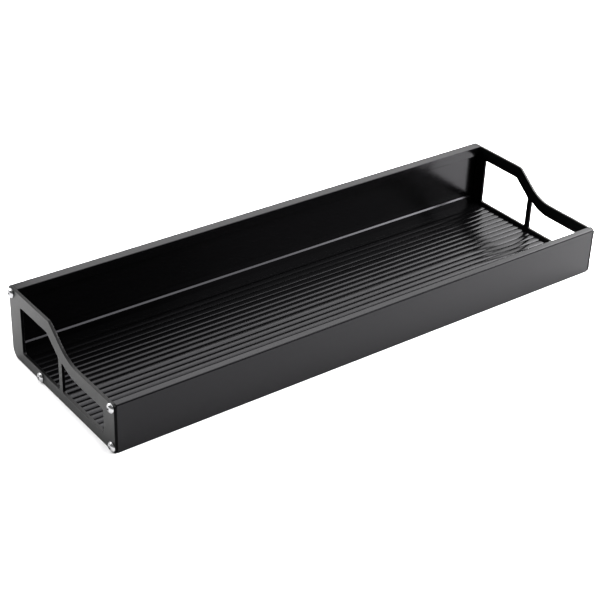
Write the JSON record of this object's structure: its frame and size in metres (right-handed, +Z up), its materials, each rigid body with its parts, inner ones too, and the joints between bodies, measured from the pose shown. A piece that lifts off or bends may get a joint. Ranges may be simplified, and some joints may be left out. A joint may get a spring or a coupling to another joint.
{
  "type": "kitchen shelf tray",
  "caption": "Long shallow storage shelf tray with a ribbed floor, low front wall, higher back wall and windowed end plates, for bottles and jars on a counter or ledge.",
  "frame": {"origin": "middle of the footprint, on the surface that the shelf stands on", "axes": "+X along the shelf towards its right end, +Y from the low front wall to the high back wall, +Z up"},
  "size_m": [0.4046, 0.13, 0.0525],
  "materials": {
    "extrusion": "satin black anodised",
    "end_plate": "fine matt black coating",
    "screw": "bright nickel plate"
  },
  "bodies": {
    "root": {"front_panel": "extrusion", "floor_panel": "extrusion", "back_panel": "extrusion", "left_end_plate": "end_plate", "right_end_plate": "end_plate", "left_front_top_screw": "screw", "left_front_bottom_screw": "screw", "left_floor_screw": "screw", "left_back_top_screw": "screw", "right_front_top_screw": "screw", "right_front_bottom_screw": "screw", "right_floor_screw": "screw", "right_back_top_screw": "screw"}
  },
  "joints": []
}
